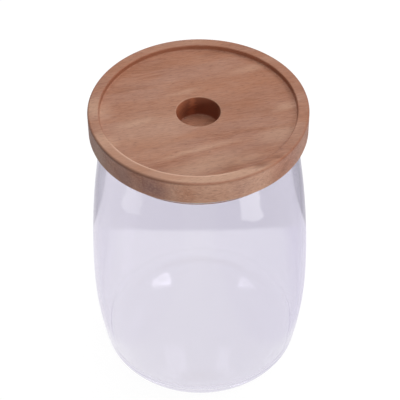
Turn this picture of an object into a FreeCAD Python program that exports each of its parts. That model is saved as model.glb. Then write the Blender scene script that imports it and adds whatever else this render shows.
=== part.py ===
"""Round glass storage jar with a wooden lid: glass_jar, wood_lid and seal_ring.

Millimetres, +Z up. The origin is the middle of the jar's foot, on the surface that the jar
stands on, and the jar's axis is Z. Each piece is turned about that axis. The lid rests on
the rim of the glass, and its plug, with the seal round it, hangs inside the mouth.
"""
import FreeCAD, Part

import math
import os

import Sketcher
from FreeCAD import Vector

# Every size that can be set by itself: word in the sheet, millimetres (or a count), meaning.
SIZES = [
    ("jar_height", 164.4, "foot to rim of the glass"),
    ("belly_diameter", 126.2, "outside of the glass where it is widest"),
    ("belly_height", 55.0, "foot to the widest place"),
    ("mouth_inset", 7.1, "how far the mouth stands in from the belly"),
    ("mouth_land", 8.0, "straight stretch below the rim, which the seal bears on"),
    ("neck_round", 150.0, "hollow curve that leads from the land into the side"),
    ("foot_inset", 13.6, "how far the foot ring's outer edge stands in from the belly"),
    ("foot_ring_width", 5.0, "width of the flat foot ring"),
    ("heel_round", 9.4, "outside curve from the side to the foot"),
    ("inner_heel_round", 9.0, "inside curve from the side to the floor"),
    ("wall", 2.4, "thickness of the glass side"),
    ("base_thickness", 4.2, "thickness of the glass base"),
    ("push_up", 1.6, "rise of the base in the middle of the foot ring"),
    ("rim_round", 1.0, "fire-polished edges of the rim"),
    ("lid_overhang", 4.0, "reach of the lid beyond the mouth"),
    ("lid_thickness", 14.4, "underside to raised rim of the lid"),
    ("lid_rim_width", 6.3, "width of the raised rim"),
    ("recess_depth", 3.0, "raised rim to the sunk field"),
    ("recess_cove", 0.8, "corner of the sunk field"),
    ("lid_edge_round", 1.1, "outer edges of the lid"),
    ("lid_rim_round", 0.7, "inner edge of the raised rim"),
    ("finger_hole_diameter", 24.0, "blind hole that a finger lifts the lid by"),
    ("finger_hole_depth", 12.4, "sunk field to the floor of the hole"),
    ("finger_hole_round", 0.6, "mouth of the hole"),
    ("finger_hole_cove", 1.0, "corner at the floor of the hole"),
    ("plug_clearance", 1.6, "glass to plug"),
    ("plug_lip", 1.7, "wood of the plug below the seal's groove"),
    ("plug_edge_round", 1.0, "lower edge of the plug"),
    ("groove_drop", 1.5, "underside of the lid to the seal's groove"),
    ("groove_height", 4.6, "height of the seal and its groove"),
    ("groove_depth", 1.8, "depth of the seal's groove"),
    ("seal_slack", 0.1, "floor of the groove to the seal"),
    ("seal_gap", 0.2, "glass to the tips of the seal's fins"),
    ("fin_count", 3, "fins round the seal"),
    ("fin_pitch", 1.5, "fin to fin"),
    ("fin_root", 0.9, "thickness of a fin where it leaves the band"),
    ("fin_tip", 0.5, "thickness of a fin at its tip"),
]

# What follows from the sizes, each worked out once. A bare word is another row of this list.
PLACES = [
    ("mouth_radius", "sizes.belly_diameter / 2 - sizes.mouth_inset"),
    ("foot_radius", "sizes.belly_diameter / 2 - sizes.foot_inset"),
    ("foot_inner_radius", "foot_radius - sizes.foot_ring_width"),
    ("floor_top", "sizes.push_up + sizes.base_thickness"),
    ("bore_radius", "mouth_radius - sizes.wall"),
    ("lid_radius", "mouth_radius + sizes.lid_overhang"),
    ("field_radius", "lid_radius - sizes.lid_rim_width"),
    ("field_height", "sizes.lid_thickness - sizes.recess_depth"),
    ("hole_radius", "sizes.finger_hole_diameter / 2"),
    ("hole_floor", "field_height - sizes.finger_hole_depth"),
    ("plug_radius", "bore_radius - sizes.plug_clearance"),
    ("plug_depth", "sizes.groove_drop + sizes.groove_height + sizes.plug_lip"),
    ("groove_radius", "plug_radius - sizes.groove_depth"),
    ("band_back_radius", "groove_radius + sizes.seal_slack"),
    ("fin_run", "sizes.fin_pitch * (sizes.fin_count - 1)"),
    ("fin_drop", "sizes.groove_drop + (sizes.groove_height + fin_run + sizes.fin_root) / 2"),
    ("fin_back_radius", "plug_radius - sizes.groove_depth / 2"),
    ("fin_tip_radius", "bore_radius - sizes.seal_gap"),
]

FULL_TURN = 360
START, END, CENTRE = 1, 2, 3          # the points of a sketched arc or line, by number
X_AXIS, Y_AXIS = -1, -2               # a sketch's own axes, by number
ORIGIN = (-1, 1)
TOLERANCE = 1e-4

doc = FreeCAD.newDocument("storage_jar")


def make_sheet():
    """The sheet of driving sizes: word, number, meaning."""
    made = doc.addObject("Spreadsheet::Sheet", "sizes")
    for row, (word, number, meaning) in enumerate(SIZES, start=1):
        made.set(f"A{row}", word)
        made.set(f"B{row}", str(number))
        made.set(f"C{row}", meaning)
        made.setAlias(f"B{row}", word)
    doc.recompute()
    return made


def make_places():
    """The set of radii and levels that follow from the sheet."""
    made = doc.addObject("App::VarSet", "places")
    for word, expression in PLACES:
        made.addProperty("App::PropertyFloat", word)
        made.setExpression(word, expression)
    doc.recompute()
    return made


sheet = make_sheet()
places = make_places()


def size(word):
    """A size's number, for first guesses and for finding edges."""
    return float(sheet.get(word))


# ---------------------------------------------------------------- bodies and sketches

def new_body(label):
    """An empty body whose name and label are the piece's name."""
    body = doc.addObject("PartDesign::Body", label)
    body.Label = label
    return body


def new_sketch(body, name, plane, height=None):
    """A sketch on one of the body's own planes, raised by an expression if height is given."""
    sketch = body.newObject("Sketcher::SketchObject", name)
    support = next(f for f in body.Origin.OriginFeatures if f.Role == plane)
    sketch.AttachmentSupport = (support, [""])
    sketch.MapMode = "FlatFace"
    if height is not None:
        sketch.setExpression("AttachmentOffset.Base.z", height)
    return sketch


def dimension(sketch, name, expression, *constraint):
    """A named dimension, which an expression of the sheet's sizes drives."""
    index = sketch.addConstraint(Sketcher.Constraint(*constraint))
    sketch.renameConstraint(index, name)
    sketch.setExpression("Constraints." + name, expression)


class Outline:
    """A chain of lines and arcs, in which each piece starts where the last one ended."""

    def __init__(self, sketch, start):
        self.sketch = sketch
        self.here = Vector(*start, 0)
        self.first = None
        self.last = None

    def join(self, index, head, tail, smooth):
        """Tie the new piece's head to the last piece's tail, tangentially if smooth."""
        if self.last is not None:
            kind = "Tangent" if smooth else "Coincident"
            self.sketch.addConstraint(Sketcher.Constraint(kind, *self.last, index, head))
        else:
            self.first = (index, head)
        self.last = (index, tail)
        return index

    def line(self, x, y, smooth=False):
        """A straight piece to x, y."""
        end = Vector(x, y, 0)
        index = self.sketch.addGeometry(Part.LineSegment(self.here, end))
        self.here = end
        return self.join(index, START, END, smooth)

    def arc(self, centre, x, y, clockwise=False, smooth=True):
        """A piece round centre to x, y; a sketched arc always runs anticlockwise."""
        middle = Vector(*centre, 0)
        end = Vector(x, y, 0)
        ends = (end, self.here) if clockwise else (self.here, end)
        circle = Part.Circle(middle, Vector(0, 0, 1), (self.here - middle).Length)
        angles = [math.atan2(p.y - middle.y, p.x - middle.x) for p in ends]
        index = self.sketch.addGeometry(Part.ArcOfCircle(circle, *angles))
        self.here = end
        if clockwise:
            return self.join(index, END, START, smooth)
        return self.join(index, START, END, smooth)

    def close(self):
        """Tie the last piece to the first."""
        self.sketch.addConstraint(Sketcher.Constraint("Coincident", *self.last, *self.first))


def circle_sketch(body, name, radius, height=None):
    """One circle round the body's axis, whose radius is an expression."""
    sketch = new_sketch(body, name, "XY_Plane", height)
    circle = sketch.addGeometry(Part.Circle(Vector(0, 0, 0), Vector(0, 0, 1), 1.0))
    sketch.addConstraint(Sketcher.Constraint("Coincident", circle, CENTRE, *ORIGIN))
    dimension(sketch, name + "_radius", radius, "Radius", circle, 1.0)
    return sketch


# ---------------------------------------------------------------- features

def turned(body, name, kind, sketch):
    """A Revolution or a Groove of the sketch, right round the body's axis."""
    feature = body.newObject("PartDesign::" + kind, name)
    feature.Profile = sketch
    feature.ReferenceAxis = (sketch, ["V_Axis"])
    feature.Angle = FULL_TURN
    doc.recompute()
    return feature


def raised(body, name, kind, sketch, length, reverse=False):
    """A Pad or a Pocket of the sketch, whose length is an expression."""
    feature = body.newObject("PartDesign::" + kind, name)
    feature.Profile = sketch
    feature.Reversed = reverse
    feature.setExpression("Length", length)
    doc.recompute()
    return feature


def must_cut(feature, before):
    """Stop if a cut took nothing away, because a cut that points the wrong way is silent."""
    if feature.Shape.Volume > before.Shape.Volume - TOLERANCE:
        raise RuntimeError(feature.Name + " cuts nothing")


def ring_edge(feature, radius, height):
    """The name of the feature's circular edge with this radius, at this height."""
    for index, edge in enumerate(feature.Shape.Edges, start=1):
        curve = None if edge.Degenerated else edge.Curve
        if not isinstance(curve, Part.Circle):
            continue
        if abs(curve.Radius - radius) < TOLERANCE and abs(curve.Center.z - height) < TOLERANCE:
            return f"Edge{index}"
    raise RuntimeError(f"no edge of radius {radius} at {height} on {feature.Name}")


def rounded(body, name, rings, radius):
    """A fillet of the body's circular edges, each given as (radius, height)."""
    base = body.Tip
    fillet = body.newObject("PartDesign::Fillet", name)
    fillet.Base = (base, [ring_edge(base, *ring) for ring in rings])
    fillet.setExpression("Radius", radius)
    doc.recompute()
    return fillet


# ---------------------------------------------------------------- tangent points

def meeting_point(centre_a, reach_a, centre_b, reach_b):
    """The right-hand point that lies reach_a from centre_a and reach_b from centre_b."""
    ax, ay = centre_a
    bx, by = centre_b
    apart = math.hypot(bx - ax, by - ay)
    along = (reach_a ** 2 - reach_b ** 2 + apart ** 2) / (2 * apart)
    aside = math.sqrt(reach_a ** 2 - along ** 2)
    ux, uy = (bx - ax) / apart, (by - ay) / apart
    sides = [(ax + along * ux - s * aside * uy, ay + along * uy + s * aside * ux) for s in (1, -1)]
    return max(sides)


def towards(centre, other, reach):
    """The point that lies reach from centre, on the way to other."""
    span = math.hypot(other[0] - centre[0], other[1] - centre[1])
    return tuple(c + reach * (o - c) / span for c, o in zip(centre, other))


# ---------------------------------------------------------------- glass_jar

def glass_section(body):
    """The glass cut through its axis: a side of four tangent arcs, and an inside parallel to it.

    From the foot the side swells out along a heel arc and a lower arc to the belly, leans in
    along an upper arc, and turns through a hollow neck arc into the straight land of the
    mouth. The points below are only first guesses, and the constraints place them.
    """
    rim, land = size("jar_height"), size("jar_height") - size("mouth_land")
    mouth, bore, wall = places.mouth_radius, places.bore_radius, size("wall")
    belly, belly_z = size("belly_diameter") / 2, size("belly_height")
    foot, foot_inner = places.foot_radius, places.foot_inner_radius
    neck, heel, inner_heel = size("neck_round"), size("heel_round"), size("inner_heel_round")
    push_up, floor_top = size("push_up"), places.floor_top

    # arcs of the side, from the belly's upright tangent: up to the neck, down to the heel
    lean, rise = belly - mouth, land - belly_z
    upper = (lean ** 2 + rise ** 2) / (2 * lean) - neck
    tuck, drop = belly - foot, belly_z - heel
    lower = (tuck ** 2 + drop ** 2 - heel ** 2) / (2 * (tuck - heel))
    under = (foot_inner ** 2 + push_up ** 2) / (2 * push_up)
    over = under + floor_top - push_up

    upper_mid = (belly - upper, belly_z)
    lower_mid = (belly - lower, belly_z)
    neck_mid = (mouth + neck, land)
    heel_mid = (foot, heel)
    dome_mid = (0, push_up - under)
    inner_mid = meeting_point(lower_mid, lower - wall - inner_heel, dome_mid, over + inner_heel)

    sketch = new_sketch(body, "glass_section", "XZ_Plane")
    outline = Outline(sketch, (0, push_up))
    under_arc = outline.arc(dome_mid, foot_inner, 0, clockwise=True)
    ring = outline.line(foot, 0)
    heel_arc = outline.arc(heel_mid, *towards(lower_mid, heel_mid, lower))
    lower_arc = outline.arc(lower_mid, belly, belly_z)
    upper_arc = outline.arc(upper_mid, *towards(upper_mid, neck_mid, upper))
    neck_arc = outline.arc(neck_mid, mouth, land, clockwise=True)
    outer_land = outline.line(mouth, rim, smooth=True)
    rim_line = outline.line(bore, rim)
    inner_land = outline.line(bore, land)
    inner_neck = outline.arc(neck_mid, *towards(upper_mid, neck_mid, upper - wall))
    inner_upper = outline.arc(upper_mid, belly - wall, belly_z, clockwise=True)
    inner_lower = outline.arc(lower_mid, *towards(lower_mid, inner_mid, lower - wall), clockwise=True)
    corner = outline.arc(inner_mid, *towards(dome_mid, inner_mid, over), clockwise=True)
    floor = outline.arc(dome_mid, 0, floor_top)
    axis = outline.line(0, push_up)
    outline.close()

    rule = Sketcher.Constraint
    sketch.addConstraint([
        rule("PointOnObject", under_arc, CENTRE, Y_AXIS),
        rule("PointOnObject", axis, START, Y_AXIS),
        rule("PointOnObject", axis, END, Y_AXIS),
        rule("PointOnObject", ring, START, X_AXIS),
        rule("PointOnObject", ring, END, X_AXIS),
        rule("Horizontal", lower_arc, CENTRE, lower_arc, END),
        rule("Vertical", outer_land),
        rule("Horizontal", rim_line),
        rule("Vertical", inner_land),
        rule("Coincident", inner_neck, CENTRE, neck_arc, CENTRE),
        rule("Coincident", inner_upper, CENTRE, upper_arc, CENTRE),
        rule("Coincident", inner_lower, CENTRE, lower_arc, CENTRE),
        rule("Coincident", floor, CENTRE, under_arc, CENTRE),
    ])
    from_axis = ("DistanceX", *ORIGIN)
    from_foot = ("DistanceY", *ORIGIN)
    dimension(sketch, "base_rise", "sizes.push_up", *from_foot, axis, END, push_up)
    dimension(sketch, "floor_rise", "places.floor_top", *from_foot, axis, START, floor_top)
    dimension(sketch, "ring_inner", "places.foot_inner_radius", *from_axis, ring, START, foot_inner)
    dimension(sketch, "ring_outer", "places.foot_radius", *from_axis, ring, END, foot)
    dimension(sketch, "belly_reach", "sizes.belly_diameter / 2", *from_axis, lower_arc, END, belly)
    dimension(sketch, "belly_rise", "sizes.belly_height", *from_foot, lower_arc, END, belly_z)
    dimension(sketch, "mouth_reach", "places.mouth_radius", *from_axis, outer_land, END, mouth)
    dimension(sketch, "rim_rise", "sizes.jar_height", *from_foot, outer_land, END, rim)
    dimension(sketch, "land", "sizes.mouth_land", "Distance", outer_land, rim - land)
    dimension(sketch, "side", "sizes.wall", "Distance", rim_line, wall)
    dimension(sketch, "neck", "sizes.neck_round", "Radius", neck_arc, neck)
    dimension(sketch, "heel", "sizes.heel_round", "Radius", heel_arc, heel)
    dimension(sketch, "inner_heel", "sizes.inner_heel_round", "Radius", corner, inner_heel)
    return sketch


def glass_jar():
    """The jar: one turned section, then the polished rim."""
    body = new_body("glass_jar")
    turned(body, "glass_turned", "Revolution", glass_section(body))
    rim = size("jar_height")
    edges = [(places.mouth_radius, rim), (places.bore_radius, rim)]
    rounded(body, "rim_polish", edges, "min(sizes.rim_round; sizes.wall * 0.45)")
    return body


# ---------------------------------------------------------------- wood_lid

def band_outline(body, name, back_radius):
    """A rectangle from back_radius out to the plug's side, over the height of the groove."""
    top = -size("groove_drop")
    low = top - size("groove_height")
    back, front = getattr(places, back_radius), places.plug_radius
    sketch = new_sketch(body, name, "XZ_Plane")
    outline = Outline(sketch, (back, low))
    bottom = outline.line(front, low)
    face = outline.line(front, top)
    roof = outline.line(back, top)
    rear = outline.line(back, low)
    outline.close()
    sketch.addConstraint([Sketcher.Constraint("Horizontal", index) for index in (bottom, roof)])
    sketch.addConstraint([Sketcher.Constraint("Vertical", index) for index in (face, rear)])
    dimension(sketch, "back", "places." + back_radius, "DistanceX", *ORIGIN, rear, START, back)
    dimension(sketch, "front", "places.plug_radius", "DistanceX", *ORIGIN, face, START, front)
    dimension(sketch, "drop", "sizes.groove_drop", "DistanceY", roof, START, *ORIGIN, -top)
    dimension(sketch, "tall", "sizes.groove_height", "Distance", face, top - low)
    return sketch


def wood_lid():
    """The lid: a disc with a raised rim and a finger hole on top, and a grooved plug below.

    The body's own zero is the underside of the disc, which rests on the rim of the glass.
    """
    body = new_body("wood_lid")
    disc = circle_sketch(body, "disc_outline", "places.lid_radius")
    raised(body, "disc", "Pad", disc, "sizes.lid_thickness")
    plug = circle_sketch(body, "plug_outline", "places.plug_radius")
    blank = raised(body, "plug", "Pad", plug, "places.plug_depth", reverse=True)

    field = circle_sketch(body, "field_outline", "places.field_radius", "sizes.lid_thickness")
    recess = raised(body, "recess", "Pocket", field, "sizes.recess_depth")
    must_cut(recess, blank)
    hole = circle_sketch(body, "hole_outline", "places.hole_radius", "places.field_height")
    finger_hole = raised(body, "finger_hole", "Pocket", hole, "sizes.finger_hole_depth")
    must_cut(finger_hole, recess)
    groove = turned(body, "seal_groove", "Groove", band_outline(body, "groove_section", "groove_radius"))
    must_cut(groove, finger_hole)

    top = size("lid_thickness")
    outer = [(places.lid_radius, top), (places.lid_radius, 0)]
    rounded(body, "outer_edges", outer, "sizes.lid_edge_round")
    rounded(body, "rim_inner_edge", [(places.field_radius, top)], "sizes.lid_rim_round")
    rounded(body, "field_cove", [(places.field_radius, places.field_height)], "sizes.recess_cove")
    rounded(body, "hole_mouth", [(places.hole_radius, places.field_height)], "sizes.finger_hole_round")
    rounded(body, "hole_cove", [(places.hole_radius, places.hole_floor)], "sizes.finger_hole_cove")
    rounded(body, "plug_edge", [(places.plug_radius, -places.plug_depth)],
            "min(sizes.plug_edge_round; sizes.plug_lip * 0.9)")
    body.setExpression("Placement.Base.z", "sizes.jar_height")
    return body


# ---------------------------------------------------------------- seal_ring

def fin_section(body):
    """The lowest fin: a blade that thins out and bends up towards the glass."""
    back, face, tip = places.fin_back_radius, places.plug_radius, places.fin_tip_radius
    root, thin = size("fin_root"), size("fin_tip")
    low = -places.fin_drop
    high = low + root
    sketch = new_sketch(body, "fin_section", "XZ_Plane")
    outline = Outline(sketch, (back, low))
    under_root = outline.line(face, low)
    under = outline.line(tip, high - thin / 2)
    end = outline.line(tip, high + thin / 2)
    over = outline.line(face, high)
    over_root = outline.line(back, high)
    rear = outline.line(back, low)
    outline.close()
    sketch.addConstraint([
        Sketcher.Constraint("Horizontal", under_root),
        Sketcher.Constraint("Horizontal", over_root),
        Sketcher.Constraint("Vertical", end),
        Sketcher.Constraint("Vertical", rear),
        Sketcher.Constraint("Vertical", under, START, over, END),
    ])
    dimension(sketch, "back", "places.fin_back_radius", "DistanceX", *ORIGIN, rear, START, back)
    dimension(sketch, "face", "places.plug_radius", "DistanceX", *ORIGIN, under, START, face)
    dimension(sketch, "reach", "places.fin_tip_radius", "DistanceX", *ORIGIN, end, START, tip)
    dimension(sketch, "drop", "places.fin_drop", "DistanceY", under_root, START, *ORIGIN, -low)
    dimension(sketch, "root", "sizes.fin_root", "Distance", rear, root)
    dimension(sketch, "thin", "sizes.fin_tip", "Distance", end, thin)
    dimension(sketch, "lift", "sizes.fin_tip / 2", "DistanceY", over_root, START, end, END, thin / 2)
    return sketch


def seal_ring():
    """The soft ring: a band in the plug's groove, and fins that reach nearly to the glass."""
    body = new_body("seal_ring")
    band = turned(body, "band", "Revolution", band_outline(body, "band_section", "band_back_radius"))
    section = fin_section(body)
    fin = turned(body, "fin", "Revolution", section)
    if fin.Shape.Volume < band.Shape.Volume + TOLERANCE:
        raise RuntimeError("the fin adds nothing")
    fins = body.newObject("PartDesign::LinearPattern", "fins")
    fins.Originals = [fin]
    fins.Direction = (section, ["V_Axis"])
    fins.setExpression("Length", "places.fin_run")
    fins.setExpression("Occurrences", "sizes.fin_count")
    body.Tip = fins
    body.setExpression("Placement.Base.z", "sizes.jar_height")
    return body


# ---------------------------------------------------------------- check and write

def check(bodies):
    """Stop on any failed object, and on a piece that isn't one valid solid."""
    for item in doc.Objects:
        if "Invalid" in item.State or "Error" in item.State:
            raise RuntimeError(f"{item.Name} failed: {item.State}")
    for body in bodies:
        shape = body.Shape
        if shape.isNull() or not shape.isValid() or len(shape.Solids) != 1:
            raise RuntimeError(body.Label + " is not one valid solid")


pieces = [glass_jar(), wood_lid(), seal_ring()]
doc.recompute()
check(pieces)
os.makedirs("parts", exist_ok=True)
for piece in pieces:
    piece.Shape.exportStep(f"parts/{piece.Label}.step")
    box = piece.Shape.optimalBoundingBox(False)
    print(f"{piece.Label}: {piece.Shape.Volume / 1000:.2f} cm3, "
          f"z {box.ZMin:.2f} to {box.ZMax:.2f}, across {box.XLength:.2f}")
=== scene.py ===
"""Glass storage jar with a wooden lid: the looks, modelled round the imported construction.

Metres, +Z up. The jar stands on the floor with its axis on Z. The three pieces are turned
on a lathe: a section is drawn point by point beside the axis and then spun about it.
"""

import math

import bpy
from mathutils import Matrix, Vector


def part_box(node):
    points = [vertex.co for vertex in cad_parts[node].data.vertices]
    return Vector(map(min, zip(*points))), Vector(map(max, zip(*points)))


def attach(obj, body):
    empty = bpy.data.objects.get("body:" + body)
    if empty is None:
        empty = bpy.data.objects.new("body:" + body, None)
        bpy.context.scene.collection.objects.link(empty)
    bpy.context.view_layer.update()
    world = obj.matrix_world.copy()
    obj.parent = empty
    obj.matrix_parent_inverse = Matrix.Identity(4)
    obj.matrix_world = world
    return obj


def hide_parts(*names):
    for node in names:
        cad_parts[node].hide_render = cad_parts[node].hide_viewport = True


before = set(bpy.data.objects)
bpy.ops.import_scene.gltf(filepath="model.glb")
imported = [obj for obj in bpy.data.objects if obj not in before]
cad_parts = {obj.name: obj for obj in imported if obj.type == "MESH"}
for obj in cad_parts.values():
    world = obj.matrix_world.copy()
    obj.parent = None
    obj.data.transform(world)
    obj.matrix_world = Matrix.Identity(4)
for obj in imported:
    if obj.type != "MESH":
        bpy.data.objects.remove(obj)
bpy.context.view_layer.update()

MM = 0.001

# ---------------------------------------------------------------- sizes

_, glass_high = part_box("glass_jar")
lid_low, lid_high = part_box("wood_lid")
seal_low, seal_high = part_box("seal_ring")

RIM_HEIGHT = glass_high.z
BELLY_RADIUS = glass_high.x
BELLY_HEIGHT = 55 * MM
MOUTH_RADIUS = BELLY_RADIUS - 7.1 * MM
MOUTH_LAND = 8 * MM
NECK_ROUND = 150 * MM
FOOT_RADIUS = BELLY_RADIUS - 13.6 * MM
FOOT_RING_WIDTH = 5 * MM
HEEL_ROUND = 9.4 * MM
INNER_HEEL_ROUND = 9 * MM
WALL = 2.4 * MM
BASE_THICKNESS = 4.2 * MM
PUSH_UP = 1.6 * MM
RIM_ROUND = 1 * MM

LID_RADIUS = lid_high.x
LID_TOP = lid_high.z
LID_RIM_WIDTH = 6.3 * MM
RECESS_DEPTH = 3 * MM
FIELD_HEIGHT = LID_TOP - RECESS_DEPTH
RECESS_COVE = 0.8 * MM
LID_EDGE_ROUND = 1.1 * MM
LID_RIM_ROUND = 0.7 * MM
HOLE_RADIUS = 12 * MM
HOLE_DEPTH = 12.4 * MM
HOLE_ROUND = 0.6 * MM
HOLE_COVE = 1 * MM
PLUG_RADIUS = MOUTH_RADIUS - WALL - 1.6 * MM
PLUG_EDGE_ROUND = 1 * MM
GROOVE_DEPTH = 1.8 * MM
HOLDING = 0.4 * MM                # how near a round the points that keep a flat flat are

FIN_COUNT = 3
FIN_PITCH = 1.5 * MM
FIN_ROOT = 0.9 * MM
FIN_TIP = 0.5 * MM
SEAL_CLEARANCE = 0.1 * MM        # between the ring and the groove's floor

TURNS = 384                      # steps right round a piece
SAME_PLACE = 0.002 * MM          # points nearer than this are one
NO_LENGTH = 0.001 * MM           # edges shorter than this are dropped


# ---------------------------------------------------------------- the lathe

class Lathe:
    """Draws a section beside the axis, as (radius, height) points, and turns it about Z."""

    def __init__(self, name, r, z):
        bpy.ops.object.select_all(action="DESELECT")
        bpy.ops.mesh.primitive_plane_add(size=MM, location=(r, 0, z))
        self.piece = bpy.context.object
        self.piece.name = name
        self.piece.data.name = name
        bpy.ops.object.transform_apply(location=True, rotation=True, scale=True)
        bpy.ops.object.mode_set(mode="EDIT")
        bpy.ops.mesh.select_mode(type="VERT")
        bpy.ops.mesh.select_all(action="SELECT")
        bpy.ops.mesh.merge(type="CENTER")
        self.r, self.z = r, z

    def line(self, r, z, steps=1):
        """A straight stretch to r, z."""
        step = ((r - self.r) / steps, 0, (z - self.z) / steps)
        for _ in range(steps):
            bpy.ops.mesh.extrude_vertices_move(TRANSFORM_OT_translate={"value": step})
        self.r, self.z = r, z

    def arc(self, centre, turn, steps):
        """A round stretch about centre, turn radians anticlockwise in the section."""
        cr, cz = centre
        bpy.ops.mesh.spin(steps=steps, angle=turn, center=(cr, 0, cz), axis=(0, 1, 0))
        c, s = math.cos(turn), math.sin(turn)
        dr, dz = self.r - cr, self.z - cz
        self.r, self.z = cr + c * dr - s * dz, cz + s * dr + c * dz

    def turn(self):
        """Spins the finished section into a closed piece with its faces outwards."""
        bpy.ops.mesh.select_all(action="SELECT")
        bpy.ops.mesh.spin(steps=TURNS, angle=2 * math.pi, center=(0, 0, 0), axis=(0, 0, 1))
        bpy.ops.mesh.select_all(action="SELECT")
        bpy.ops.mesh.remove_doubles(threshold=SAME_PLACE)
        bpy.ops.mesh.dissolve_degenerate(threshold=NO_LENGTH)
        bpy.ops.mesh.select_all(action="SELECT")
        bpy.ops.mesh.normals_make_consistent(inside=False)
        bpy.ops.object.mode_set(mode="OBJECT")
        bpy.ops.object.shade_smooth()
        return self.piece


def direction(centre, point):
    """The angle of point as seen from centre."""
    return math.atan2(point[1] - centre[1], point[0] - centre[0])


# ---------------------------------------------------------------- glass_jar

def glass_jar():
    """The jar: heel, lower side, upper side and neck are tangent arcs, and the inside is parallel."""
    land = RIM_HEIGHT - MOUTH_LAND
    lean, rise = BELLY_RADIUS - MOUTH_RADIUS, land - BELLY_HEIGHT
    upper = (lean ** 2 + rise ** 2) / (2 * lean) - NECK_ROUND
    tuck, drop = BELLY_RADIUS - FOOT_RADIUS, BELLY_HEIGHT - HEEL_ROUND
    lower = (tuck ** 2 + drop ** 2 - HEEL_ROUND ** 2) / (2 * (tuck - HEEL_ROUND))
    foot_inner = FOOT_RADIUS - FOOT_RING_WIDTH
    under = (foot_inner ** 2 + PUSH_UP ** 2) / (2 * PUSH_UP)
    over = under + BASE_THICKNESS

    heel_mid = (FOOT_RADIUS, HEEL_ROUND)
    lower_mid = (BELLY_RADIUS - lower, BELLY_HEIGHT)
    upper_mid = (BELLY_RADIUS - upper, BELLY_HEIGHT)
    neck_mid = (MOUTH_RADIUS + NECK_ROUND, land)
    dome_mid = (0, PUSH_UP - under)

    heel_turn = math.pi / 2 + direction(lower_mid, heel_mid)
    lower_turn = -direction(lower_mid, heel_mid)
    neck_turn = direction(upper_mid, neck_mid)
    bore = MOUTH_RADIUS - WALL

    # the inner heel touches the lower side's inside and the floor
    reach_side, reach_floor = lower - WALL - INNER_HEEL_ROUND, over + INNER_HEEL_ROUND
    apart = math.dist(lower_mid, dome_mid)
    along = (reach_side ** 2 - reach_floor ** 2 + apart ** 2) / (2 * apart)
    aside = math.sqrt(reach_side ** 2 - along ** 2)
    ur, uz = (dome_mid[0] - lower_mid[0]) / apart, (dome_mid[1] - lower_mid[1]) / apart
    inner_mid = max((lower_mid[0] + along * ur - side * aside * uz,
                     lower_mid[1] + along * uz + side * aside * ur) for side in (1, -1))
    side_angle = direction(lower_mid, inner_mid)
    floor_angle = direction(dome_mid, inner_mid)

    lathe = Lathe("glass", 0, PUSH_UP)
    lathe.arc(dome_mid, direction(dome_mid, (foot_inner, 0)) - math.pi / 2, 14)
    lathe.line(FOOT_RADIUS, 0, 3)
    lathe.arc(heel_mid, heel_turn, 14)
    lathe.arc(lower_mid, lower_turn, 16)
    lathe.arc(upper_mid, neck_turn, 16)
    lathe.arc(neck_mid, -neck_turn, 6)
    lathe.line(MOUTH_RADIUS, RIM_HEIGHT - RIM_ROUND, 3)
    lathe.arc((MOUTH_RADIUS - RIM_ROUND, RIM_HEIGHT - RIM_ROUND), math.pi / 2, 6)
    lathe.line(bore + RIM_ROUND, RIM_HEIGHT)
    lathe.arc((bore + RIM_ROUND, RIM_HEIGHT - RIM_ROUND), math.pi / 2, 6)
    lathe.line(bore, land, 3)
    lathe.arc(neck_mid, neck_turn, 6)
    lathe.arc(upper_mid, -neck_turn, 16)
    lathe.arc(lower_mid, side_angle, 16)
    lathe.arc(inner_mid, direction(inner_mid, dome_mid) - side_angle, 14)
    lathe.arc(dome_mid, math.pi / 2 - floor_angle, 14)
    return lathe.turn()


# ---------------------------------------------------------------- wood_lid

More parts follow.
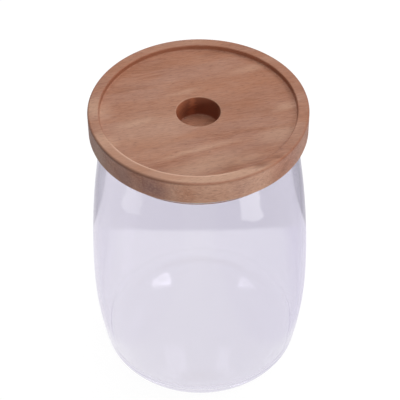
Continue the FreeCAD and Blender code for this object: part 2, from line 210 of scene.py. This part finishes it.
def wood_lid():
    """The lid: raised rim, sunk field, blind finger hole, and a grooved plug below."""
    e, c = LID_EDGE_ROUND, RECESS_COVE
    field = LID_RADIUS - LID_RIM_WIDTH
    hole_floor = FIELD_HEIGHT - HOLE_DEPTH
    groove = PLUG_RADIUS - GROOVE_DEPTH
    groove_low, groove_high = seal_low.z, seal_high.z
    quarter = math.pi / 2
    hold = HOLDING

    lathe = Lathe("lid", 0, lid_low.z)
    lathe.line(PLUG_RADIUS - PLUG_EDGE_ROUND - hold, lid_low.z, 6)
    lathe.line(PLUG_RADIUS - PLUG_EDGE_ROUND, lid_low.z)
    lathe.arc((PLUG_RADIUS - PLUG_EDGE_ROUND, lid_low.z + PLUG_EDGE_ROUND), quarter, 6)
    lathe.line(PLUG_RADIUS, groove_low, 2)
    lathe.line(groove, groove_low, 3)
    lathe.line(groove, groove_high, 4)
    lathe.line(PLUG_RADIUS, groove_high, 3)
    lathe.line(PLUG_RADIUS, RIM_HEIGHT, 2)
    lathe.line(LID_RADIUS - e - hold, RIM_HEIGHT, 4)
    lathe.line(LID_RADIUS - e, RIM_HEIGHT)
    lathe.arc((LID_RADIUS - e, RIM_HEIGHT + e), quarter, 7)
    lathe.line(LID_RADIUS, RIM_HEIGHT + e + hold)
    lathe.line(LID_RADIUS, LID_TOP - e - hold, 6)
    lathe.line(LID_RADIUS, LID_TOP - e)
    lathe.arc((LID_RADIUS - e, LID_TOP - e), quarter, 7)
    lathe.line(LID_RADIUS - e - hold, LID_TOP)
    lathe.line(field + LID_RIM_ROUND + hold, LID_TOP, 3)
    lathe.line(field + LID_RIM_ROUND, LID_TOP)
    lathe.arc((field + LID_RIM_ROUND, LID_TOP - LID_RIM_ROUND), quarter, 6)
    lathe.line(field, FIELD_HEIGHT + c, 2)
    lathe.arc((field - c, FIELD_HEIGHT + c), -quarter, 6)
    lathe.line(field - c - hold, FIELD_HEIGHT)
    lathe.line(HOLE_RADIUS + HOLE_ROUND + hold, FIELD_HEIGHT, 14)
    lathe.line(HOLE_RADIUS + HOLE_ROUND, FIELD_HEIGHT)
    lathe.arc((HOLE_RADIUS + HOLE_ROUND, FIELD_HEIGHT - HOLE_ROUND), quarter, 5)
    lathe.line(HOLE_RADIUS, hole_floor + HOLE_COVE, 5)
    lathe.arc((HOLE_RADIUS - HOLE_COVE, hole_floor + HOLE_COVE), -quarter, 6)
    lathe.line(HOLE_RADIUS - HOLE_COVE - hold, hole_floor)
    lathe.line(0, hole_floor, 4)
    return lathe.turn()


# ---------------------------------------------------------------- seal_ring

def seal_ring():
    """The soft ring: a band in the plug's groove, with fins that bend up towards the glass."""
    back = PLUG_RADIUS - GROOVE_DEPTH + SEAL_CLEARANCE
    tip = seal_high.x
    low, high = seal_low.z, seal_high.z
    stack = FIN_PITCH * (FIN_COUNT - 1) + FIN_ROOT
    first = (low + high - stack) / 2

    lathe = Lathe("seal", back, low)
    lathe.line(PLUG_RADIUS, low, 3)
    for fin in range(FIN_COUNT):
        under = first + fin * FIN_PITCH
        over = under + FIN_ROOT
        lathe.line(PLUG_RADIUS, under)
        lathe.line(tip, over - FIN_TIP / 2, 3)
        lathe.line(tip, over + FIN_TIP / 2, 2)
        lathe.line(PLUG_RADIUS, over, 3)
    lathe.line(PLUG_RADIUS, high)
    lathe.line(back, high, 3)
    lathe.line(back, low, 4)
    return lathe.turn()


glass = glass_jar()
lid = wood_lid()
seal = seal_ring()

for piece, node, finish in ((glass, "glass_jar", "clear_glass"), (lid, "wood_lid", "lid_wood"),
                            (seal, "seal_ring", "seal_silicone")):
    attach(piece, "root")
    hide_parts(node)


# ---------------------------------------------------------------- node helpers

WHITE = (1, 1, 1, 1)


class Paint:
    """A material's node tree, with short ways to add a node and to join sockets."""

    def __init__(self, name):
        self.material = bpy.data.materials.new(name)
        self.material.use_nodes = True
        self.nodes = self.material.node_tree.nodes
        self.links = self.material.node_tree.links
        self.shader = self.nodes["Principled BSDF"]
        self.output = self.nodes["Material Output"]

    def add(self, kind, *sources, **values):
        """A new node; sources feed its inputs in order, and values set its properties or sockets."""
        node = self.nodes.new("ShaderNode" + kind)
        for word, value in values.items():
            if hasattr(node, word):
                setattr(node, word, value)
            else:
                node.inputs[word.replace("_", " ")].default_value = value
        for socket, source in enumerate(sources):
            self.feed(source, node.inputs[socket])
        return node

    def feed(self, source, socket):
        """Join a node's first output, a socket or a number to an input."""
        if isinstance(source, (int, float, tuple)):
            socket.default_value = source
            return
        if isinstance(source, bpy.types.Node):
            source = source.outputs[0]
        self.links.new(source, socket)

    def calc(self, operation, *sources):
        """One Math node."""
        return self.add("Math", *sources, operation=operation)

    def product(self, *factors):
        """All the factors multiplied together."""
        total = factors[0]
        for factor in factors[1:]:
            total = self.calc("MULTIPLY", total, factor)
        return total

    def ramp(self, factor, tones):
        """The colours along a factor; tones holds each position and its colour, in order."""
        node = self.add("ValToRGB", factor)
        stops = node.color_ramp.elements
        for position, _ in tones[1:-1]:
            stops.new(position)
        for stop, (position, tone) in zip(stops, tones):
            stop.position = position
            stop.color = (*tone[:3], 1)
        return node

    def wobble(self, place, noise, reach):
        """The place, moved by a noise's colour, up to half of reach each way."""
        shift = self.add("VectorMath", noise.outputs["Color"], (0.5, 0.5, 0.5), operation="SUBTRACT")
        moved = self.add("VectorMath", shift, reach, operation="MULTIPLY")
        return self.add("VectorMath", place, moved, operation="ADD")

    def blend(self, factor, base, other, share):
        """The colour base, going to the colour other by factor times share."""
        node = self.nodes.new("ShaderNodeMix")
        node.data_type = "RGBA"
        sockets = {socket.identifier: socket for socket in node.inputs}
        self.feed(self.product(factor, share), sockets["Factor_Float"])
        self.feed(base, sockets["A_Color"])
        self.feed(other, sockets["B_Color"])
        return next(socket for socket in node.outputs if socket.identifier == "Result_Color")

    def set(self, **values):
        """Numbers and colours on the main shader's own sockets."""
        for word, value in values.items():
            self.shader.inputs[word.replace("_", " ")].default_value = value


# ---------------------------------------------------------------- clear_glass

GLASS_TINT = (0.853, 0.838, 0.891, 1)    # of one pass through a wall
GLASS_SHADE = (0.93, 0.925, 0.94, 1)     # of the light that a wall lets by
GLASS_DEEP = (0.84, 0.82, 0.89, 1)       # of light that has run along inside a wall
RIPPLE_SIZE = 40 * MM
RIPPLE_DEPTH = 0.02 * MM
CAUGHT_AFTER = 1.5                       # reflections inside


def clear_glass():
    """Thin clear glass with a breath of violet and a faint ripple; lamps pass it unbent."""
    paint = Paint("clear_glass")
    paint.set(Base_Color=GLASS_TINT, Roughness=0.0, IOR=1.47, Transmission_Weight=1.0)
    place = paint.add("TexCoord").outputs["Object"]
    ripple = paint.add("TexNoise", place, Scale=1 / RIPPLE_SIZE, Detail=1.0)
    bump = paint.add("Bump", Strength=1.0, Distance=RIPPLE_DEPTH)
    paint.feed(ripple, bump.inputs["Height"])
    paint.feed(bump, paint.shader.inputs["Normal"])

    light_path = paint.add("LightPath")
    through = paint.add("BsdfTransparent", GLASS_SHADE)
    soft = paint.add("MixShader", light_path.outputs["Is Diffuse Ray"], paint.shader, through)
    hard = paint.add("MixShader", light_path.outputs["Is Shadow Ray"], soft, through)
    # light caught inside the wall gets out again instead of going black
    caught = paint.calc("GREATER_THAN", light_path.outputs["Glossy Depth"], CAUGHT_AFTER)
    freed = paint.add("BsdfTransparent", GLASS_DEEP)
    paint.feed(paint.add("MixShader", caught, hard, freed), paint.output.inputs["Surface"])
    return paint.material


# ---------------------------------------------------------------- lid_wood

# places on the lid are in centimetres: along the grain, across it, and up
PER_CM = 100
LID_CM = LID_RADIUS * PER_CM
INNER_CM = (LID_RADIUS - LID_RIM_WIDTH) * PER_CM
HOLE_CM = HOLE_RADIUS * PER_CM
TOP_CM = LID_TOP * PER_CM
GRAIN_TURN = math.radians(12)
PITH = (0.0, 2.6, 9.0)
PITH_TAPER = (0.04, 1.0, 1.0)            # the rings hardly change along the grain
RINGS_PER_CM = 1.15
JOINT = -5.25                            # across the grain, where the paler front board begins
JOINT_BLEND = 0.2

# noises, in cells for each centimetre along, across and up
WANDER_CELLS = (0.12, 0.3, 0.3)
FRAY_CELLS = (0.9, 5.0, 5.0)
FIBRE_CELLS = (1.6, 15.0, 15.0)
PATCH_CELLS = (0.35, 0.9, 0.9)
HUE_CELLS = (0.3, 1.1, 1.1)
PORE_CELLS = (3.0, 24.0, 24.0)
FLECK_CELLS = (4.0, 12.0, 12.0)
WANDER_REACH = (0.6, 1.6, 1.2)           # how far the grain wanders, and how far it frays
FRAY_REACH = (1.1, 0.34, 0.34)
PORE_DEPTH = 0.08 * MM                   # in metres

WOOD_DARK = (0.235, 0.093, 0.053, 1)
WOOD_RED = (0.385, 0.17, 0.104, 1)
WOOD_MID = (0.475, 0.233, 0.152, 1)
WOOD_PALE = (0.6, 0.335, 0.235, 1)
WOOD_ORANGE = (0.46, 0.19, 0.1, 1)
WOOD_PINK = (0.46, 0.25, 0.185, 1)
# partly the wood's own tone, partly painted shade on the lid's side
UMBER_AND_SHADE = (0.2, 0.1, 0.1, 1)
# the paler wood, also painted as a highlight round the finger hole's edge
PALE_WOOD_AND_HIGHLIGHT = (0.66, 0.4, 0.28, 1)
# painted shade on the lid's edges and inner walls, in two tones
SHADE_RED = (0.3, 0.1, 0.05, 1)
SHADE_BROWN = (0.15, 0.06, 0.04, 1)
# colour of a painted glint
GLINT_PALE = (0.9, 0.6, 0.45, 1)
RIM_YELLOW = (0.63, 0.355, 0.235, 1)
# painted shade in the finger hole, partly its end grain's own darker red
HOLE_RED_AND_SHADE = (0.27, 0.065, 0.026, 1)
# colour of painted light on the finger hole's lit wall
HOLE_LIT_ORANGE = (0.5, 0.15, 0.065, 1)
PORE_DARK = (0.16, 0.055, 0.03, 1)
WOOD_TONES = ((0.12, WOOD_DARK), (0.36, WOOD_RED), (0.56, WOOD_MID), (0.9, WOOD_PALE))

# soft flames in the figure: along, across, half length, half width, strength
FLAME_TILT = math.radians(9)
PALE_FLAMES = (
    (3.57, 2.94, 1.5, 0.4, 0.8), (-0.38, 1.78, 1.2, 0.26, 0.7), (-3.38, -0.2, 2.0, 0.45, 0.8),
    (-0.78, -3.02, 2.6, 0.25, 0.75), (4.7, -0.65, 0.9, 0.4, 0.8), (3.81, -2.74, 1.4, 0.7, 0.6),
    (-3.0, -1.0, 3.5, 2.2, 0.42), (-5.6, -1.5, 1.4, 0.9, 0.9), (-0.8, -4.3, 3.0, 0.8, 0.75),
    (-5.6, 1.2, 1.2, 1.0, 0.9), (1.2, 5.7, 3.0, 0.5, 0.3), (4.9, -3.6, 1.2, 0.8, 0.25),
    (1.5, -4.3, 1.3, 0.4, 0.6),
)
RED_FLAMES = (
    (-3.63, -2.23, 1.2, 0.4, 0.8), (2.82, -0.16, 1.6, 0.6, 0.8), (-0.37, -1.67, 1.6, 0.4, 0.8),
    (3.0, 1.6, 4.5, 2.6, 0.85), (-4.5, 4.0, 2.6, 1.0, 0.7), (0.0, 4.6, 3.5, 1.2, 0.5),
)
DARK_FLAMES = (
    (1.73, 4.68, 1.0, 0.3, 0.7), (-3.2, 2.6, 1.6, 0.16, 0.5), (1.2, -3.9, 1.8, 0.18, 0.2),
    (2.9, -0.7, 1.8, 1.0, 0.32),
)
KNOTS = ((2.2, -5.15, 0.6, 0.28, 1.0), (3.3, -4.75, 0.5, 0.2, 0.8))

# marks on the lid's outer side, which stay below its top, where the umber ones are partly the wood's own
# tone and partly painted shade, and painted light on the wall of the finger hole
SIDE_MIDDLE, SIDE_HALF = 17.1, 0.85
SIDE_UMBER_AND_SHADE = (
    (-4.8, -3.7, 1.0, 0.8, 0.65), (-3.5, -4.8, 1.25, 1.0, 0.95), (5.6, -1.6, 0.5, 0.9, 0.5),
    (4.4, -4.1, 1.0, 0.9, 0.35), (0.9, -5.9, 0.8, 0.5, 0.35),
)
SIDE_RED = ((-1.9, -5.7, 0.7, 0.5, 0.9), (3.4, -5.0, 1.2, 0.7, 0.6))
# painted light: where the lamp reaches the finger hole's far left wall
HOLE_LIT_MARKS = ((-0.95, 0.7, 0.7, 0.55, 1.0), (-0.1, 1.2, 0.25, 0.4, 0.9))


class Wood(Paint):
    """The lid's tree: places in the grain, masks of the lid's parts, and a colour that steps tint."""

    def __init__(self, name):
        super().__init__(name)
        coordinates = self.add("TexCoord")
        self.normal = coordinates.outputs["Normal"]
        self.grain = self.add("Mapping", coordinates.outputs["Object"], Scale=(PER_CM,) * 3,
                              Rotation=(0, 0, -GRAIN_TURN))
        fray = self.noise(FRAY_CELLS, detail=3.0)
        wander = self.noise(WANDER_CELLS)
        self.frayed = self.wobble(self.grain, fray, FRAY_REACH)
        self.figure = self.wobble(self.frayed, wander, WANDER_REACH)

        self.spot = self.add("SeparateXYZ", self.grain)
        flat = self.add("CombineXYZ", self.spot.outputs["X"], self.spot.outputs["Y"])
        self.radius = self.add("VectorMath", flat, operation="LENGTH").outputs["Value"]
        self.level = self.calc("ABSOLUTE", self.add("SeparateXYZ", self.normal).outputs["Z"])
        self.upright = self.calc("SUBTRACT", 1.0, self.level)
        across = self.add("SeparateXYZ", self.frayed).outputs["Y"]
        self.board = self.slope(across, JOINT + JOINT_BLEND, JOINT - JOINT_BLEND)
        self.fibres = self.noise(FIBRE_CELLS, detail=4.0, roughness=0.62)
        self.pores = self.slope(self.noise(PORE_CELLS, detail=1.0), 0.57, 0.68)
        self.colour = None

    def noise(self, cells, detail=2.0, roughness=0.55):
        """Noise stretched along the grain."""
        place = self.add("VectorMath", self.grain, cells, operation="MULTIPLY")
        return self.add("TexNoise", place, Scale=1.0, Detail=detail, Roughness=roughness)

    def slope(self, value, none, full):
        """0 where the value is none, 1 where it is full, and straight between them."""
        return self.add("MapRange", value, none, full, 0.0, 1.0)

    def line(self, radius, half):
        """1 on a circle about the lid's middle, falling to 0 on both sides of it."""
        off = self.calc("ABSOLUTE", self.calc("SUBTRACT", self.radius, radius))
        return self.slope(off, half, 0.0)

    def flames(self, marks, middle=0.0, depth=1000.0):
        """The strongest of some soft marks at each place, from 0 to 1; middle and depth are upright."""
        total = 0.0
        for along, across, length, width, strength in marks:
            share = self.add("Mapping", self.frayed, vector_type="TEXTURE", Rotation=(0, 0, FLAME_TILT),
                             Location=(along, across, middle), Scale=(length, width, depth))
            reach = self.add("VectorMath", share, operation="LENGTH").outputs["Value"]
            mark = self.add("MapRange", reach, 0.1, 1.25, strength, 0.0, interpolation_type="SMOOTHSTEP")
            total = self.calc("MAXIMUM", total, mark)
        return total

    def tint(self, factor, other, share):
        """Take the colour towards another by factor times share."""
        self.colour = self.blend(factor, self.colour, other, share)


def wood_figure(wood):
    """Growth rings round a pith below the lid, fibres and patches, in a hue that wanders."""
    from_pith = wood.add("VectorMath", wood.figure, PITH, operation="SUBTRACT")
    section = wood.add("VectorMath", from_pith, PITH_TAPER, operation="MULTIPLY")
    depth = wood.add("VectorMath", section, operation="LENGTH").outputs["Value"]
    rings = wood.add("TexNoise", noise_dimensions="1D", Scale=RINGS_PER_CM, Detail=3.0, Roughness=0.62)
    wood.feed(depth, rings.inputs["W"])

    shade = 0.5
    for noise, strength in ((rings, 0.8), (wood.fibres, 1.0), (wood.noise(PATCH_CELLS), 0.5)):
        swing = wood.calc("MULTIPLY_ADD", noise, strength, -strength / 2)
        shade = wood.calc("ADD", shade, swing)
    wood.colour = wood.ramp(shade, WOOD_TONES)

    hues = wood.noise(HUE_CELLS, detail=3.0)
    wood.tint(wood.slope(hues, 0.42, 0.62), WOOD_PINK, 0.3)
    wood.tint(wood.slope(hues, 0.56, 0.38), WOOD_ORANGE, 0.3)


def wood_marks(wood):
    """The flames and knots, the paler board along the front edge, and the marks on the side, the umber
    ones partly painted shade.
    """
    wood.tint(wood.flames(PALE_FLAMES), PALE_WOOD_AND_HIGHLIGHT, 0.75)
    wood.tint(wood.flames(RED_FLAMES), WOOD_ORANGE, 0.5)
    wood.tint(wood.flames(DARK_FLAMES), WOOD_DARK, 0.5)
    # the board shows less on the side
    less = wood.calc("MULTIPLY_ADD", wood.upright, -0.42, 1.0)
    wood.tint(wood.product(wood.board, less), PALE_WOOD_AND_HIGHLIGHT, 0.78)
    wood.tint(wood.flames(KNOTS), WOOD_DARK, 0.7)
    # partly the wood's own tone, partly painted shade, strongest on the front left side
    wood.tint(wood.flames(SIDE_UMBER_AND_SHADE, SIDE_MIDDLE, SIDE_HALF), UMBER_AND_SHADE, 0.57)
    wood.tint(wood.flames(SIDE_RED, SIDE_MIDDLE, SIDE_HALF), WOOD_ORANGE, 0.6)


def wood_pores(wood):
    """Short dark pores, and flecks where the side cuts across the fibres."""
    wood.tint(wood.pores, PORE_DARK, 0.35)
    along = (math.cos(GRAIN_TURN), math.sin(GRAIN_TURN), 0)
    facing = wood.add("VectorMath", wood.normal, along, operation="DOT_PRODUCT").outputs["Value"]
    ends = wood.calc("POWER", wood.calc("ABSOLUTE", facing), 1.5)
    cut = wood.calc("MAXIMUM", ends, wood.product(wood.upright, wood.board, 0.8))
    flecks = wood.noise(FLECK_CELLS, detail=3.0)
    wood.tint(wood.product(wood.slope(flecks, 0.5, 0.68), cut), PALE_WOOD_AND_HIGHLIGHT, 0.6)
    wood.tint(wood.product(wood.slope(flecks, 0.46, 0.32), cut), WOOD_DARK, 0.35)


def wood_rim(wood):
    """Painted shade darkens the rim's outer top edge, most on the front left, and its inner edge away
    from the front; the rim's front left is yellower, and a painted glint runs along its inner edge at
    the front.
    """
    along, across, height = wood.spot.outputs
    near_top = wood.slope(height, TOP_CM - 0.2, TOP_CM - 0.08)
    brim = wood.product(wood.slope(wood.radius, LID_CM - 0.13, LID_CM - 0.04), near_top)
    front_left = wood.product(wood.slope(along, -1.5, -3.0), wood.slope(across, -0.5, -2.5))
    # painted shade: the outer top edge darker red all round, and darker brown on the front left
    wood.tint(brim, SHADE_RED, 0.5)
    wood.tint(wood.product(brim, front_left), SHADE_BROWN, 0.7)
    on_rim = wood.product(wood.slope(wood.radius, INNER_CM, INNER_CM + 0.03), wood.level)
    wood.tint(wood.product(on_rim, front_left), RIM_YELLOW, 0.4)

    # a painted glint along the inner edge at the front; elsewhere on that edge, painted shade in dark
    # red
    glint_front = wood.product(wood.slope(across, -1.0, -2.5), wood.slope(along, 1.6, 0.2))
    shade_elsewhere = wood.calc("SUBTRACT", 1.0, glint_front)
    wood.tint(wood.product(wood.line(INNER_CM + 0.05, 0.1), glint_front), GLINT_PALE, 0.75)
    wood.tint(wood.product(wood.line(INNER_CM + 0.02, 0.07), shade_elsewhere), SHADE_RED, 0.5)


def wood_hole(wood):
    """Painted shade on the walls round the field and, partly with the end grain's own red, in the finger
    hole; painted light on the hole's far left wall, and a painted highlight round its edge.
    """
    # painted shade on the upright walls inside the rim
    within = wood.slope(wood.radius, LID_CM - 0.3, LID_CM - 0.4)
    wood.tint(wood.product(wood.upright, within), SHADE_RED, 0.5)
    # painted shade on the finger hole's wall, partly its end grain's own darker red
    wall = wood.product(wood.upright, wood.slope(wood.radius, HOLE_CM + 0.02, HOLE_CM + 0.01))
    wood.tint(wall, HOLE_RED_AND_SHADE, 0.95)
    # painted light where the lamp reaches the hole's far left wall
    wood.tint(wood.product(wall, wood.flames(HOLE_LIT_MARKS)), HOLE_LIT_ORANGE, 1.0)
    # a painted highlight round the finger hole's edge
    wood.tint(wood.line(HOLE_CM + 0.03, 0.05), PALE_WOOD_AND_HIGHLIGHT, 0.35)


def lid_wood():
    """Oiled red hardwood with a satin sheen, where fibres and pores give a fine relief."""
    wood = Wood("lid_wood")
    for step in (wood_figure, wood_marks, wood_pores, wood_rim, wood_hole):
        step(wood)
    wood.feed(wood.colour, wood.shader.inputs["Base Color"])
    wood.set(Specular_IOR_Level=0.28)
    sheen = wood.add("MapRange", wood.fibres, 0.3, 0.7, 0.5, 0.38)
    wood.feed(sheen, wood.shader.inputs["Roughness"])
    grooves = wood.calc("MULTIPLY_ADD", wood.pores, -1.0, wood.fibres)
    bump = wood.add("Bump", Strength=0.5, Distance=PORE_DEPTH)
    wood.feed(grooves, bump.inputs["Height"])
    wood.feed(bump, wood.shader.inputs["Normal"])
    return wood.material


# ---------------------------------------------------------------- seal_silicone

SEAL_DULL = (0.8, 0.8, 0.78, 1)
SEAL_MILKY = (0.87, 0.87, 0.86, 1)
CLOUD_SIZE = 7.14 * MM
DUST_SIZE = 1.11 * MM


def seal_silicone():
    """Milky silicone: slightly cloudy, soft where light enters, and unevenly matt."""
    paint = Paint("seal_silicone")
    paint.set(Subsurface_Weight=0.25, Subsurface_Scale=1.5 * MM, IOR=1.41)
    place = paint.add("TexCoord").outputs["Object"]
    cloud = paint.add("TexNoise", place, Scale=1 / CLOUD_SIZE, Detail=2.0)
    colour = paint.blend(cloud, SEAL_DULL, SEAL_MILKY, 1.0)
    paint.feed(colour, paint.shader.inputs["Base Color"])
    dust = paint.add("TexNoise", place, Scale=1 / DUST_SIZE, Detail=3.0)
    paint.feed(paint.add("MapRange", dust, 0.3, 0.7, 0.36, 0.52), paint.shader.inputs["Roughness"])
    return paint.material


for piece, material in ((glass, clear_glass()), (lid, lid_wood()), (seal, seal_silicone())):
    piece.data.materials.clear()
    piece.data.materials.append(material)


# ---------------------------------------------------------------- studio

SHOWING_RAYS = ("Is Camera Ray", "Is Glossy Ray", "Is Transmission Ray")
FLOOR_GLOW = 0.92                # the part of the floor's white that shadows don't darken
FLOOR_SHADE = (0.16, 0.16, 0.16, 1)      # and the part that they do
FLOOR_PLAIN = (0.8, 0.8, 0.8, 1)         # the floor as it lights the jar
FLOOR_SIZE = 40
FLOOR_DROP = 0.05 * MM           # keeps the floor clear of the foot's flat
AMBIENT = 0.14
FAR_FLOOR = 86 * MM              # behind the jar's axis; from here the glass shows a greyer floor
FAR_BLEND = 2 * MM
SIDE_REACH = 130 * MM
# the floor's tone as the glass shows it, from left to right, with painted shade beside the jar: the
# share of the reach, then the tone
NEAR_TONES = (
    (0.0, (0.86, 0.84, 0.9)), (0.22, (0.885, 0.87, 0.915)), (0.27, (1.0, 1.0, 1.0)),
    (0.5, (0.99, 0.99, 0.99)), (0.73, (0.93, 0.93, 0.95)), (0.78, (0.8, 0.78, 0.87)),
    (1.0, (0.78, 0.76, 0.85)),
)
FAR_TONES = (
    (0.0, (0.5, 0.49, 0.53)), (0.2, (0.82, 0.81, 0.84)), (0.5, (0.76, 0.75, 0.79)),
    (0.8, (0.7, 0.69, 0.73)), (1.0, (0.38, 0.37, 0.41)),
)


def glass_tone(paint):
    """How light the floor looks through the glass and in it: painted shade beside the jar, and greyer
    far behind.
    """
    place = paint.add("SeparateXYZ", paint.add("NewGeometry").outputs["Position"])
    side = paint.add("MapRange", place.outputs["X"], -SIDE_REACH, SIDE_REACH, 0.0, 1.0)
    starts, full = FAR_FLOOR - FAR_BLEND, FAR_FLOOR + FAR_BLEND
    behind = paint.add("MapRange", place.outputs["Y"], starts, full, 0.0, 1.0)
    tone = paint.blend(behind, paint.ramp(side, NEAR_TONES), paint.ramp(side, FAR_TONES), 1.0)
    direct = paint.add("LightPath").outputs["Is Camera Ray"]
    return paint.blend(direct, tone, WHITE, 1.0)


def studio_floor():
    """A wide pale floor: white where it is seen, with the soft shadow kept."""
    bpy.ops.object.select_all(action="DESELECT")
    bpy.ops.mesh.primitive_plane_add(size=FLOOR_SIZE, location=(0, 0, -FLOOR_DROP))
    floor = bpy.context.object
    floor.name = "floor"
    paint = Paint("floor_paint")
    glow = paint.add("Emission", glass_tone(paint), FLOOR_GLOW)
    shade = paint.add("BsdfDiffuse", FLOOR_SHADE)
    shown = paint.add("AddShader", glow, shade)
    plain = paint.add("BsdfDiffuse", FLOOR_PLAIN)
    light_path = paint.add("LightPath")
    seen = 0.0
    for ray in SHOWING_RAYS:
        seen = paint.calc("MAXIMUM", seen, light_path.outputs[ray])
    paint.feed(paint.add("MixShader", seen, plain, shown), paint.output.inputs["Surface"])
    floor.data.materials.append(paint.material)


def studio_world():
    """White where it is seen, and plain soft light elsewhere."""
    world = bpy.data.worlds.new("studio")
    bpy.context.scene.world = world
    world.use_nodes = True
    nodes, links = world.node_tree.nodes, world.node_tree.links
    light_path = nodes.new("ShaderNodeLightPath")
    background = nodes["Background"]
    background.inputs["Color"].default_value = WHITE
    # a chain of maxima: the ambient strength, or full strength for a ray that shows the world
    target = background.inputs["Strength"]
    for ray in SHOWING_RAYS:
        strongest = nodes.new("ShaderNodeMath")
        strongest.operation = "MAXIMUM"
        strongest.inputs[1].default_value = AMBIENT
        links.new(light_path.outputs[ray], strongest.inputs[0])
        links.new(strongest.outputs[0], target)
        target = strongest.inputs[1]


def bearing(azimuth, elevation):
    """The unit vector that way; azimuth is from +X, towards +Y, in degrees."""
    a, e = math.radians(azimuth), math.radians(elevation)
    return Vector((math.cos(a) * math.cos(e), math.sin(a) * math.cos(e), math.sin(e)))


def softbox(name, azimuth, elevation, distance, side, level, mirrored):
    """A square lamp that faces the top of the jar and isn't seen through the glass."""
    back = bearing(azimuth, elevation)
    data = bpy.data.lights.new(name, "AREA")
    data.shape = "SQUARE"
    data.size = side
    # the lamp's power gives this level, as a share of white, on a surface that faces it
    data.energy = level * math.pi ** 2 * distance ** 2
    lamp = bpy.data.objects.new(name, data)
    bpy.context.scene.collection.objects.link(lamp)
    lamp.location = Vector((0, 0, RIM_HEIGHT)) + back * distance
    lamp.rotation_euler = back.to_track_quat("Z", "Y").to_euler()
    lamp.visible_glossy = mirrored
    lamp.visible_transmission = False


def card(name, place, facing, width, height, turn, level, ragged, through):
    """A glowing card with soft ragged edges, which shows only in reflections, or through glass too."""
    bpy.ops.mesh.primitive_plane_add(size=1, location=place)
    piece = bpy.context.object
    piece.name = name
    spin = Matrix.Rotation(math.radians(turn), 3, "Z")
    piece.rotation_euler = (facing.to_track_quat("Z", "Y").to_matrix() @ spin).to_euler()
    piece.scale = (width * MM, height * MM, 1)
    piece.visible_camera = False
    piece.visible_diffuse = False
    piece.visible_transmission = through
    piece.visible_shadow = False

    paint = Paint(name + "_paint")
    spot = paint.add("TexCoord").outputs["Object"]
    noise = paint.add("TexNoise", spot, Scale=3.0, Detail=2.0)
    moved = paint.wobble(spot, noise, (ragged, ragged, 0))
    off = paint.add("SeparateXYZ", paint.add("VectorMath", moved, operation="ABSOLUTE"))
    reach = paint.calc("MAXIMUM", off.outputs["X"], off.outputs["Y"])
    inside = paint.add("MapRange", reach, 0.3, 0.42, 1.0, 0.0, interpolation_type="SMOOTHSTEP")
    clear = paint.add("BsdfTransparent", WHITE)
    glow = paint.add("Emission", WHITE, level)
    paint.feed(paint.add("MixShader", inside, clear, glow), paint.output.inputs["Surface"])
    piece.data.materials.append(paint.material)


studio_floor()
studio_world()

# name, azimuth, elevation, distance, side, level, and whether a surface mirrors it
for lamp_facts in (
        ("key", 8, 42, 1.4, 0.45, 0.17, True),
        ("overhead", 60, 80, 1.5, 1.0, 0.47, True),
        ("rear_left", 120, 40, 1.4, 0.45, 0.06, False),
        ("rear_right", 60, 45, 1.4, 0.45, 0.06, False),
        ("front_fill", -60, 8, 1.4, 0.45, 0.39, False)):
    softbox(*lamp_facts)

# cards beside the neck, which face up: place, width, height, turn and level
UP = Vector((0, 0, 1))
for name, place, width, height, turn, level in (
        ("card_right", (58, -68, 120), 38, 14, 51, 3.2),
        ("card_left", (-70, -50, 120), 36, 12, 114, 1.8)):
    card(name, Vector(place) * MM, UP, width, height, turn, level, 0.4, False)

# cards round the studio, which the back of the base mirrors: azimuth, elevation, width, height and level
BASE_BACK = Vector((0, 40 * MM, 10 * MM))
CARD_AWAY = 1.4                  # metres
for name, azimuth, elevation, width, height, level in (
        ("card_heel_left", 98.8, 39.8, 120, 115, 5.3),
        ("card_heel_right", 78.6, 40.2, 140, 110, 3.8),
        ("card_base_left", 98.8, 58.6, 130, 220, 1.9),
        ("card_base_right", 82.4, 58.8, 80, 190, 1.9)):
    away = bearing(azimuth, elevation)
    card(name, BASE_BACK + away * CARD_AWAY, -away, width, height, 0, level, 0.16, True)


# ---------------------------------------------------------------- camera

CAMERA_BACK = 592.2 * MM         # from the middle of the lid's top
CAMERA_UP = 507.7 * MM
CAMERA_SIDE = 0.4 * MM
CAMERA_PITCH = math.radians(44.29)
CAMERA_ROLL = math.radians(0.6)
LENS = 129.8

bpy.ops.object.camera_add(location=(CAMERA_SIDE, -CAMERA_BACK, LID_TOP + CAMERA_UP))
camera = bpy.context.object
tilt = Matrix.Rotation(math.pi / 2 - CAMERA_PITCH, 3, "X")
camera.rotation_euler = (tilt @ Matrix.Rotation(-CAMERA_ROLL, 3, "Z")).to_euler()
camera.data.lens = LENS
camera.data.sensor_width = 36
camera.data.clip_start = 0.01
bpy.context.scene.camera = camera

bpy.context.scene.view_settings.view_transform = "Standard"
